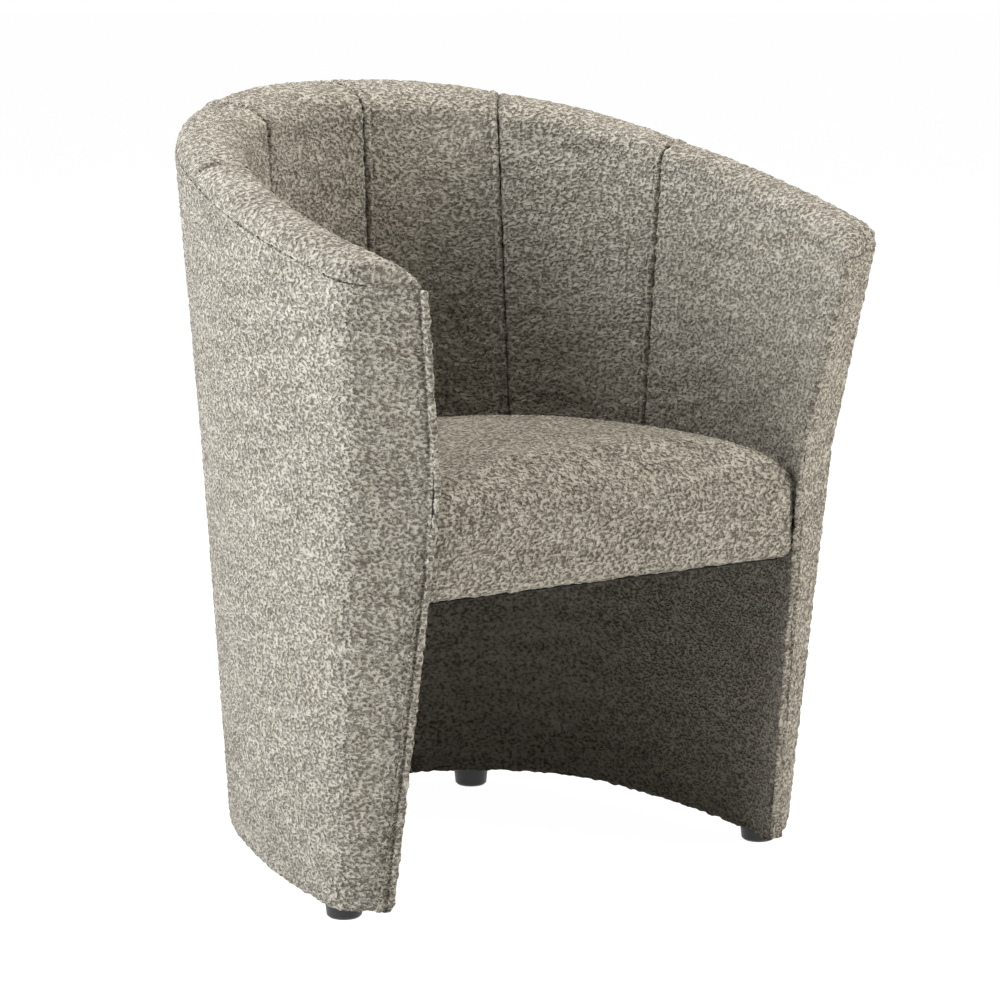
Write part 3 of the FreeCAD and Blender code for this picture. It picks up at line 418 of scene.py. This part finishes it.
def grained_wood(name, light, dark, grain_mm, stretch):
    """Sawn timber: fine grain lines drawn out along one axis, matt."""
    material, tree, place = started(name)
    drawn = node(tree, "ShaderNodeMapping", {"Vector": place, "Scale": stretch})
    grain = node(
        tree, "ShaderNodeTexNoise",
        {"Vector": drawn.outputs[0], "Scale": 1 / (grain_mm * MM), "Detail": 4.0, "Distortion": 0.6},
    )
    colour = node(
        tree, "ShaderNodeMix",
        {"Factor": grain.outputs["Fac"], "A": linear(dark), "B": linear(light)}, data_type="RGBA",
    )
    relief = node(
        tree, "ShaderNodeBump", {"Strength": 0.3, "Distance": 0.3 * MM, "Height": grain.outputs["Fac"]},
    )
    shader = node(
        tree, "ShaderNodeBsdfPrincipled",
        {"Base Color": colour.outputs["Result"], "Roughness": 0.7, "Normal": relief.outputs[0]},
    )
    closed_off(tree, shader)
    return material


def speckled(name, light, dark, grain_mm, roughness, metallic, depth_mm):
    """Even surface with a fine grain: moulded plastic, plated steel, pressed board or bonded cloth."""
    material, tree, place = started(name)
    grain = node(tree, "ShaderNodeTexNoise", {"Vector": place, "Scale": 1 / (grain_mm * MM), "Detail": 3.0})
    colour = node(
        tree, "ShaderNodeMix",
        {"Factor": grain.outputs["Fac"], "A": linear(dark), "B": linear(light)}, data_type="RGBA",
    )
    worn = node(
        tree, "ShaderNodeMapRange",
        {"Value": grain.outputs["Fac"], "To Min": roughness - 0.08, "To Max": roughness + 0.08},
    )
    relief = node(
        tree, "ShaderNodeBump", {"Strength": 0.4, "Distance": depth_mm * MM, "Height": grain.outputs["Fac"]},
    )
    shader = node(
        tree, "ShaderNodeBsdfPrincipled",
        {
            "Base Color": colour.outputs["Result"], "Roughness": worn.outputs[0], "Metallic": metallic,
            "Normal": relief.outputs[0],
        },
    )
    closed_off(tree, shader)
    return material


cloth = boucle_cloth()
dust_cloth = speckled("black_nonwoven_cloth", "#26262a", "#111114", 1.2, 0.9, 0.0, 0.15)
FINISHES = {
    "foot_plastic": speckled("black_moulded_plastic", "#1d1d1e", "#121213", 0.7, 0.42, 0.0, 0.05),
    "steel": speckled("zinc_plated_steel", "#c9cacb", "#a3a5a8", 2.5, 0.38, 1.0, 0.02),
    "wood": grained_wood("sawn_softwood", "#d9b98c", "#b48b5a", 3.0, (1.0, 1.0, 0.12)),
    "board": speckled("pressed_fibre_board", "#8a6a4a", "#664a31", 1.6, 0.8, 0.0, 0.1),
}
slot_of = {part["node"]: part["material_slot"] for part in frame["record"]["subparts"]}
for name, solid in frame["nodes"].items():
    finish = FINISHES.get(slot_of[name])
    if finish:
        for material_slot in solid.material_slots:
            material_slot.material = finish

# Outer cover: from one inner front corner round the arms and the back to the other.
# Profiles are pairs of depth into the wall and height, or of depth and drop below the rim.
HEM_PROFILE = ((15, 21.6), (9, 20.2), (4, 20.6), (1.1, 23.4), (0, 30.4))
HEM_DROOP = 8
DROOP_RANGE = (60, -170)
TOP_ROLL = ((0, 4), (0.05, 1.8), (0.3, 0.6), (1.2, 0.2), (4, 0.2), (8, 0.3))
INNER_DROPS = ((8, 2.4), (COVER_THICK + 1, 5), (COVER_THICK + 1, 70))
INNER_FACE = ((COVER_THICK + 1, SEAT_LEVEL), (COVER_THICK + 1, 200), (COVER_THICK + 2, 60))
HEM_RETURN = (13, 27)
COVER_ROW = 0.0192

# Raised seam at the inner front corner, along the arm front and then round the edge.
# Pairs of distance from the corner and lift.
EDGE_SPAN = 11.5
CORNER_LIFTS = ((11, 0), (9.4, -0.9), (8, -2.4), (6.8, -0.6), (5, 1.7), (2.2, 2.3))
WRAP_LIFTS = ((1.4, 1.9), (2.8, 1.1), (3.8, -0.6), (4.3, -2.8), (4.6, -6))


def cover_columns():
    """Columns of the right half, from the back middle to the tucked edge: place(plan, depth) and its lift."""
    columns = []
    for share in even(0, 1, 0.042)[:-1]:
        columns.append((lambda plan, depth, share=share: plan.outer.on_back(share, -depth), 0))
    for share in even(0, 1, 0.036)[:-1]:
        columns.append((
            lambda plan, depth, share=share: plan.outer.on_side(
                mix(plan.outer.joint, plan.corner_end, share), -depth), 0))
    for share in even(0, 1, 0.14)[:-1]:
        columns.append((lambda plan, depth, share=share: plan.corner_at(share, depth), 0))
    for share in (0, 0.5):
        columns.append((
            lambda plan, depth, share=share: plan.corner_at(1, depth).lerp(
                plan.seam + ALONG_FRONT * EDGE_SPAN + INTO_ARM * depth, share), 0))
    for distance, lift in CORNER_LIFTS:
        columns.append((
            lambda plan, depth, distance=distance:
                plan.seam + ALONG_FRONT * distance + INTO_ARM * depth, lift))
    for inset, lift in WRAP_LIFTS:
        columns.append((lambda plan, depth, inset=inset: plan.inner_front(inset, depth), lift))
    return columns


def hem_droop(y):
    """How far the hem hangs below the solid's lower edge: none at the back, most at the arm fronts."""
    return HEM_DROOP * share_between(y, *DROOP_RANGE)


def cover_section(place, lift):
    """Closed section of the cover: hem, outer face, rolled top edge and back down inside."""
    top = on_rim_base(place(SEAT, 0), place(TOP, 0)).z
    droop = hem_droop(place(BASE, 0).y)
    rows = [(depth, z - droop) for depth, z in HEM_PROFILE]
    first = rows[-1][1]
    last = top - TOP_ROLL[0][1]
    rows += [(0, mix(first, last, share)) for share in even(0, 1, COVER_ROW)[1:-1]]
    rows += [(depth, top - drop) for depth, drop in TOP_ROLL + INNER_DROPS]
    rows += INNER_FACE
    rows.append((HEM_RETURN[0], HEM_RETURN[1] - droop))
    return [wall_line(lambda plan: place(plan, depth - lift), z) for depth, z in rows]


right = [cover_section(place, lift) for place, lift in cover_columns()]
outer_cover = finished("outer_cover_cloth", swept(both_halves(right), True), cloth)
subdivided(outer_cover, 2)
nubbed(outer_cover)
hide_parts("outer_cover", "outer_wadding")

# Lining of the inner wall under the seat.
LINING_TOP = 341
LINING_STEPS = 27
LINING_COLUMN = 11.5
LINING_TONGUE = ((0.9, 1.4), (3.4, 4), (4.4, 16))
FRONT_ROLL = ((0, 5.5), (0.5, 2.6), (1.8, 0.7), (4.5, 0))


def lining_section(q, sink, forward):
    """Closed section of the lining: hem, face, tongue behind the panels and back down inside the wall."""
    droop = hem_droop(BASE.inner_at(q, 0).y)
    rows = [(grow + sink, z - droop) for grow, z in HEM_PROFILE]
    first = rows[-1][1]
    rows += [(sink, mix(first, LINING_TOP, step / LINING_STEPS)) for step in range(1, LINING_STEPS + 1)]
    rows += [(grow + sink, LINING_TOP + rise) for grow, rise in LINING_TONGUE]
    rows += [(COVER_THICK + 5 + sink, z) for z in (LINING_TOP + LINING_TONGUE[-1][1], 200, 60)]
    rows.append((HEM_RETURN[0] + sink, HEM_RETURN[1] - droop))
    return [wall_line(lambda plan: plan.inner_at(q - forward / SIDE_LENGTH, grow), z) for grow, z in rows]


lining_q = [q_at(length) for length in even(0, length_at(2) - FRONT_ROLL[0][1] - 4, LINING_COLUMN)]
right = [lining_section(q, 0, 0) for q in lining_q]
right += [lining_section(2, sink, forward) for sink, forward in FRONT_ROLL]
lower_lining = finished("lower_lining_cloth", swept(both_halves(right), True), cloth)
subdivided(lower_lining, 2)
nubbed(lower_lining)
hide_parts("lower_lining", "lower_wadding")

# Inner panels: up the wall, over the rounded rim to its outer edge.
# Seam profiles are pairs of distance from the seam and lift.
PLAIN_SEAM = ((0, -4.2), (0.7, -2.2), (1.8, -0.9), (3.4, -0.3), (6, 0))
RIDGE_SEAM = (
    (0, -4.6), (0.5, -1.6), (1.2, 0.6), (2.6, 2.0), (4.2, 1.9), (5.6, 0.2), (6.6, -1.6), (7.8, -0.8), (10, 0),
)
FRONT_SEAM = (
    (0, -4.2), (0.7, -2.0), (1.9, -0.8), (3.6, -0.2), (6.5, 0), (11, 0), (16, 0), (22, 0), (29, 0), (37, 0),
)
PANEL_STEP = 12
RIM_SAG = 0.3
SAG_RANGE = (0.3, 1.5)
RIM_FULLNESS = 0.8
FRONT_DROP = 0.94
EDGE_ROLL = 0.4
INSIDE_TURNS = (0.5, 1.2, math.pi / 2, 2.0, 2.7)


def crest_rise(q):
    """Rim height: a quarter round drop over the last stretch at the arm front."""
    left = (2 - q) * SIDE_LENGTH / RIM_RISE
    if left >= 1:
        return RIM_RISE
    return RIM_RISE * math.sqrt(1 - FRONT_DROP * (1 - max(left, 0)) ** 2)


def full(part):
    """Sine or cosine of the rim's round, drawn out to a fuller shoulder."""
    return math.copysign(abs(part) ** RIM_FULLNESS, part)


def panel_section(low_q, q, puff, lift):
    """Closed section from low_q at the seat to q at the rim: wall, rim, outer edge, then back inside."""
    foot = SPLIT.inner_at(low_q, 0).to_3d() + Vector((0, 0, WALL_SPLIT))
    top = on_rim_base(SEAT.inner_at(q, 0), TOP.inner_at(q, 0))
    edge = on_rim_base(SEAT.rim_edge(q), TOP.rim_edge(q))
    across = (edge - top).normalized()
    normal = (top - foot).cross(across).normalized()
    up = across.cross(normal)
    if up.z < 0:
        up = -up
    inward = -across
    bend = wall_line(lambda plan: plan.inner_at(low_q, 0), SEAT_LEVEL)
    middle = (top + edge) / 2
    half = (edge - top) / 2
    sag = RIM_SAG * share_between(q, *SAG_RANGE)
    rise = crest_rise(q) * (1 - sag) + CREST_PUFF * puff / PANEL_PUFF

    def on_rim(turn, grow):
        ring = half * full(math.cos(turn)) + up * (rise * full(math.sin(turn)))
        outward = half.normalized() * math.cos(turn) + up * math.sin(turn)
        return middle + ring + outward * grow

    points = []
    for share in even(0, 1, 0.125)[:-1]:
        points.append(foot.lerp(bend, share) + inward * lift)
    for share in even(0, 1, 0.042)[:-1]:
        crown = puff * math.sin(math.pi * share)
        points.append(bend.lerp(top, share) + inward * (crown + lift))
    for turn in even(math.pi, 0, 0.2):
        roll = 1 - math.sin(turn / 2) ** 0.5 if turn < 0.5 else 0
        points.append(on_rim(turn, lift - EDGE_ROLL * roll))
    points.append(edge + inward * (2.4 - lift) + up * 0.05)
    thick = COVER_THICK + 1
    points += [on_rim(turn, lift - thick) for turn in INSIDE_TURNS]
    for share in (0.9, 0.4):
        points.append(bend.lerp(top, share) + across * (thick - lift))
    points.append(foot.lerp(bend, 0.7) + across * (thick - lift))
    points.append(foot + across * (thick - lift))
    return points


def panel(index, side, seams):
    """Panel between two seams, from the one nearer the back middle; seams are the edge profiles."""
    low_first, low_last = [length_at(q) for q in SEAMS_BELOW[index:index + 2]]
    first, last = [length_at(q) for q in SEAMS_ABOVE[index:index + 2]]
    near = [(distance, distance, lift) for distance, lift in seams[0]]
    far = [
        (low_last - low_first - distance, last - first - distance, lift)
        for distance, lift in reversed(seams[1])
    ]
    count = round((far[0][1] - near[-1][1]) / PANEL_STEP)
    between = [
        (mix(near[-1][0], far[0][0], step / count), mix(near[-1][1], far[0][1], step / count), 0)
        for step in range(1, count)
    ]
    sections = []
    for low_length, length, lift in near + between + far:
        puff = PANEL_PUFF * max(math.sin(math.pi * length / (last - first)), 0) ** 0.7
        sections.append(panel_section(q_at(low_first + low_length), q_at(first + length), puff, lift))
    if side < 0:
        sections = [mirrored(section) for section in sections]
    return swept(sections, True)


SIDE_PANELS = (
    (0, (PLAIN_SEAM, RIDGE_SEAM)),
    (1, (PLAIN_SEAM, RIDGE_SEAM)),
    (2, (PLAIN_SEAM, FRONT_SEAM)),
)
PANEL_NAMES = {(2, -1): 1, (1, -1): 2, (0, -1): 3, (0, 1): 4, (1, 1): 5, (2, 1): 6}
HIDDEN_PADDING = {3: "inner_foam", 4: "rim_foam"}
for index, seams in SIDE_PANELS:
    for side in (-1, 1):
        number = PANEL_NAMES[index, side]
        middle_seam = RIDGE_SEAM if number == 4 else seams[0]
        piece = finished("inner_panel_%d_cloth" % number, panel(index, side, (middle_seam, seams[1])), cloth)
        subdivided(piece, 2)
        nubbed(piece)
        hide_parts("inner_panel_%d" % number)
        if number in HIDDEN_PADDING:
            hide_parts(HIDDEN_PADDING[number])

# Seat cushion: crowned top, soft front, drawn in below.
SEAT_CORNER = 9
LEAST_CORNER = 6
SEAT_FLOOR = 314.5
BOTTOM_ROLL = ((0, 12), (1.5, 5), (6, 1))
CUSHION_VOXEL = 5
FILL_PRESSURE = 4
FILL_FRAMES = 20
# Furthest a point may move in x, y and z, and the heights between which it comes free to move.
FILL_CAP = (0.8, 3.5, 5.0)
FILL_FREE = (335, 385)


def seat_outline(z, inset):
    """Closed outline of the seat at height z, drawn in by inset, with rounded front corners."""
    plan = Plan(z)
    grow = -inset - SEAT_SIDE_GAP
    front = front_y(min(z, SEAT_EDGE)) + SEAT_FRONT_SET + inset
    bend = plan.inner
    radius = max(SEAT_CORNER - inset * 0.1, LEAST_CORNER)
    lift = (front + radius - bend.side_c.y) / (bend.side_r + grow - radius)
    start = math.asin(lift)
    center = bend.on_side(start, grow - radius)
    half = [bend.on_back(share, grow) for share in even(0, 1, 0.05)[:-1]]
    half += [bend.on_side(mix(bend.joint, start, share), grow) for share in even(0, 1, 0.04)]
    for share in even(0, 1, 0.2)[1:]:
        angle = mix(start, -math.pi / 2, share)
        half.append(center + Vector((math.cos(angle), math.sin(angle))) * radius)
    half += [Vector((mix(center.x, 0, share), front)) for share in even(0, 1, 0.08)[1:]]
    loop = half + [Vector((-point.x, point.y)) for point in reversed(half[1:-1])]
    return [Vector((point.x, point.y, z)) for point in loop]


def seat_form():
    """Rings of the seat from its drawn-in bottom edge up the side and over the crown."""
    rings = [seat_outline(SEAT_FLOOR + rise, inset) for rise, inset in BOTTOM_ROLL]
    rings += [seat_outline(z, 0) for z in even(SEAT_FLOOR + 12, SEAT_EDGE, 10)]
    rise = SEAT_CROWN - SEAT_EDGE
    for step in range(1, 9):
        angle = math.radians(step * 10)
        run = SEAT_DOME_RUN * (1 - math.cos(angle))
        lift = Vector((0, -SEAT_CROWN_LEAD * run, rise * math.sin(angle)))
        rings.append([point + lift for point in seat_outline(SEAT_EDGE, run)])
    return swept(rings, True)


def filled_out(piece):
    """Blow the cushion up a little with cloth under pressure, then keep each point near where it was."""
    scene = bpy.context.scene
    remesh = piece.modifiers.new("even_mesh", "REMESH")
    remesh.mode = "VOXEL"
    remesh.voxel_size = CUSHION_VOXEL * MM
    even_mesh = bpy.data.meshes.new_from_object(piece.evaluated_get(bpy.context.evaluated_depsgraph_get()))
    piece.modifiers.clear()
    piece.data = even_mesh
    fill = piece.modifiers.new("fill", "CLOTH")
    fill.settings.use_pressure = True
    fill.settings.uniform_pressure_force = FILL_PRESSURE
    fill.settings.effector_weights.gravity = 0
    fill.point_cache.frame_end = FILL_FRAMES
    for step in range(1, FILL_FRAMES + 1):
        scene.frame_set(step)
    blown = piece.evaluated_get(bpy.context.evaluated_depsgraph_get()).data
    moved = [point.co.copy() for point in blown.vertices]
    piece.modifiers.clear()
    scene.frame_set(1)
    for point, target in zip(even_mesh.vertices, moved):
        step = target - point.co
        free = share_between(point.co.z / MM, *FILL_FREE)
        limits = [limit * MM * free for limit in FILL_CAP]
        point.co += Vector([max(-limit, min(limit, part)) for part, limit in zip(step, limits)])


cushion = finished("seat_cushion", seat_form(), cloth)
filled_out(cushion)
cushion.data.polygons.foreach_set("use_smooth", [True] * len(cushion.data.polygons))
subdivided(cushion, 1)
nubbed(cushion)
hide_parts("seat_cover", "seat_foam", "spring_felt")

# Dust covers: black cloth stapled under the shell and under the seat.
DUST_THICK = 1
STRIP_LIFT = 1.2
STRIP_EDGE = COVER_THICK + 12
STRIP_END = 60
SEAT_DUST_EDGE = 14
LEAST_REACH = 5


def dust_sheet(name, sections, node_name):
    """Thin sheet with its real area, in place of one solid."""
    sheet_mesh = swept(sections, False)
    area = sum(face.calc_area() for face in sheet_mesh.faces)
    sheet = finished(name, sheet_mesh, dust_cloth)
    thick = sheet.modifiers.new("thick", "SOLIDIFY")
    thick.thickness = DUST_THICK * MM
    thick.offset = 1
    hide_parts(node_name)


def base_strip(q):
    """Cross strip of the shell's dust cover, from the inner hem to the outer."""
    inner = BASE.inner_at(q, STRIP_EDGE)
    outer = BASE.across(q)
    outer -= (outer - inner).normalized() * STRIP_EDGE
    height = SHELL_BOTTOM + STRIP_LIFT
    return [Vector((point.x, point.y, height)) for point in (inner, inner.lerp(outer, 0.5), outer)]


right = [base_strip(q_at(length)) for length in even(0, length_at(2) - STRIP_END, 20)]
dust_sheet("base_dust_sheet", both_halves(right), "base_dust_cover")


def seat_strip(share):
    """Cross strip of the seat's dust cover, from side to side."""
    plan = Plan(SEAT_BOTTOM)
    front = front_y(SEAT_BOTTOM) + SEAT_FRONT_SET + SEAT_DUST_EDGE
    back = plan.inner.on_back(0, -SEAT_DUST_EDGE).y
    y = mix(front, back, share)
    bend = plan.inner
    if y > bend.on_back(1, 0).y:
        square = (bend.back_r - SEAT_DUST_EDGE) ** 2 - (y - bend.back_c.y) ** 2
        reach = math.sqrt(max(square, LEAST_REACH ** 2))
    else:
        square = (bend.side_r - SEAT_DUST_EDGE) ** 2 - (y - bend.side_c.y) ** 2
        reach = bend.side_c.x + math.sqrt(square)
    return [Vector((mix(-reach, reach, part), y, SEAT_BOTTOM)) for part in even(0, 1, 0.05)]


dust_sheet(
    "seat_dust_sheet", [seat_strip(share) for share in even(0, 1, 0.04)], "seat_dust_cover",
)

# Floor, light and camera.
GLOW_SHARE = 0.8
GLOW_STRENGTH = 1.23
SKY_LIGHT = 0.045
SKY_SEEN = 1.0


def seen_rays(tree):
    """Socket that is 1 for what the camera sees, also in a reflection or through glass, and 0 for light."""
    path = node(tree, "ShaderNodeLightPath")
    glossy = node(
        tree, "ShaderNodeMath", {0: path.outputs["Is Camera Ray"], 1: path.outputs["Is Glossy Ray"]},
        operation="MAXIMUM",
    )
    seen = node(
        tree, "ShaderNodeMath", {0: glossy.outputs[0], 1: path.outputs["Is Transmission Ray"]},
        operation="MAXIMUM",
    )
    return seen.outputs[0]


def studio_floor():
    """Matt white floor: the camera sees it close to white with the chair's soft shadow on it."""
    material, tree, _ = started("white_studio_floor")
    share = node(tree, "ShaderNodeMath", {0: seen_rays(tree), 1: GLOW_SHARE}, operation="MULTIPLY")
    matt = node(tree, "ShaderNodeBsdfDiffuse", {"Color": linear("#f4f3f1")})
    glow = node(tree, "ShaderNodeEmission", {"Color": (1, 1, 1, 1), "Strength": GLOW_STRENGTH})
    both = node(tree, "ShaderNodeMixShader", {0: share.outputs[0], 1: matt.outputs[0], 2: glow.outputs[0]})
    node(tree, "ShaderNodeOutputMaterial", {"Surface": both.outputs[0]})
    return material


FLOOR_REACH = 30
floor_mesh = bmesh.new()
bmesh.ops.create_circle(floor_mesh, cap_ends=True, segments=64, radius=FLOOR_REACH)
floor_data = bpy.data.meshes.new("floor")
floor_mesh.to_mesh(floor_data)
floor_mesh.free()
floor_data.materials.append(studio_floor())
floor = bpy.data.objects.new("floor", floor_data)
bpy.context.scene.collection.objects.link(floor)

world = bpy.data.worlds.new("studio")
bpy.context.scene.world = world
world.use_nodes = True
sky = world.node_tree
sky.nodes.clear()
strength = node(
    sky, "ShaderNodeMapRange", {"Value": seen_rays(sky), "To Min": SKY_LIGHT, "To Max": SKY_SEEN},
)
dome = node(sky, "ShaderNodeBackground", {"Color": (1, 1, 1, 1), "Strength": strength.outputs[0]})
node(sky, "ShaderNodeOutputWorld", {"Surface": dome.outputs[0]})


def soft_lamp(name, at, target, size, power, tint):
    """Large square lamp aimed at a point, both in metres."""
    data = bpy.data.lights.new(name, "AREA")
    data.size = size
    data.energy = power
    data.color = linear(tint)[:3]
    lamp = bpy.data.objects.new(name, data)
    lamp.location = at
    lamp.rotation_euler = (Vector(target) - Vector(at)).to_track_quat("-Z", "Y").to_euler()
    bpy.context.scene.collection.objects.link(lamp)


CHAIR_MIDDLE = (0, 0, 0.4)
soft_lamp("key_left", (-2.7, 0.1, 1.5), CHAIR_MIDDLE, 1.6, 150, "#f6faff")
soft_lamp("top", (0.2, 0.1, 2.8), CHAIR_MIDDLE, 1.8, 74, "#fffdf8")
soft_lamp("fill_right", (2.2, -2.2, 1.1), CHAIR_MIDDLE, 1.4, 98, "#fffdf8")

AZIMUTH = math.radians(32.82)
ELEVATION = math.radians(9.51)
DISTANCE = 3.3839
AIM_HEIGHT = 0.385
FOCAL_PIXELS = 3323.98
AIM_PIXEL = (471.78, 471.95)
PHOTO_PIXELS = 1000
SENSOR = 36

aim = Vector((0, 0, AIM_HEIGHT))
view_from = Vector((
    -math.sin(AZIMUTH) * math.cos(ELEVATION), -math.cos(AZIMUTH) * math.cos(ELEVATION), math.sin(ELEVATION),
))
camera_data = bpy.data.cameras.new("camera")
camera_data.sensor_width = SENSOR
camera_data.lens = FOCAL_PIXELS / PHOTO_PIXELS * SENSOR
camera_data.shift_x = 0.5 - AIM_PIXEL[0] / PHOTO_PIXELS
camera_data.shift_y = AIM_PIXEL[1] / PHOTO_PIXELS - 0.5
camera = bpy.data.objects.new("camera", camera_data)
camera.location = aim + view_from * DISTANCE
camera.rotation_euler = (-view_from).to_track_quat("-Z", "Y").to_euler()
bpy.context.scene.collection.objects.link(camera)
bpy.context.scene.camera = camera
bpy.context.scene.view_settings.view_transform = "Standard"
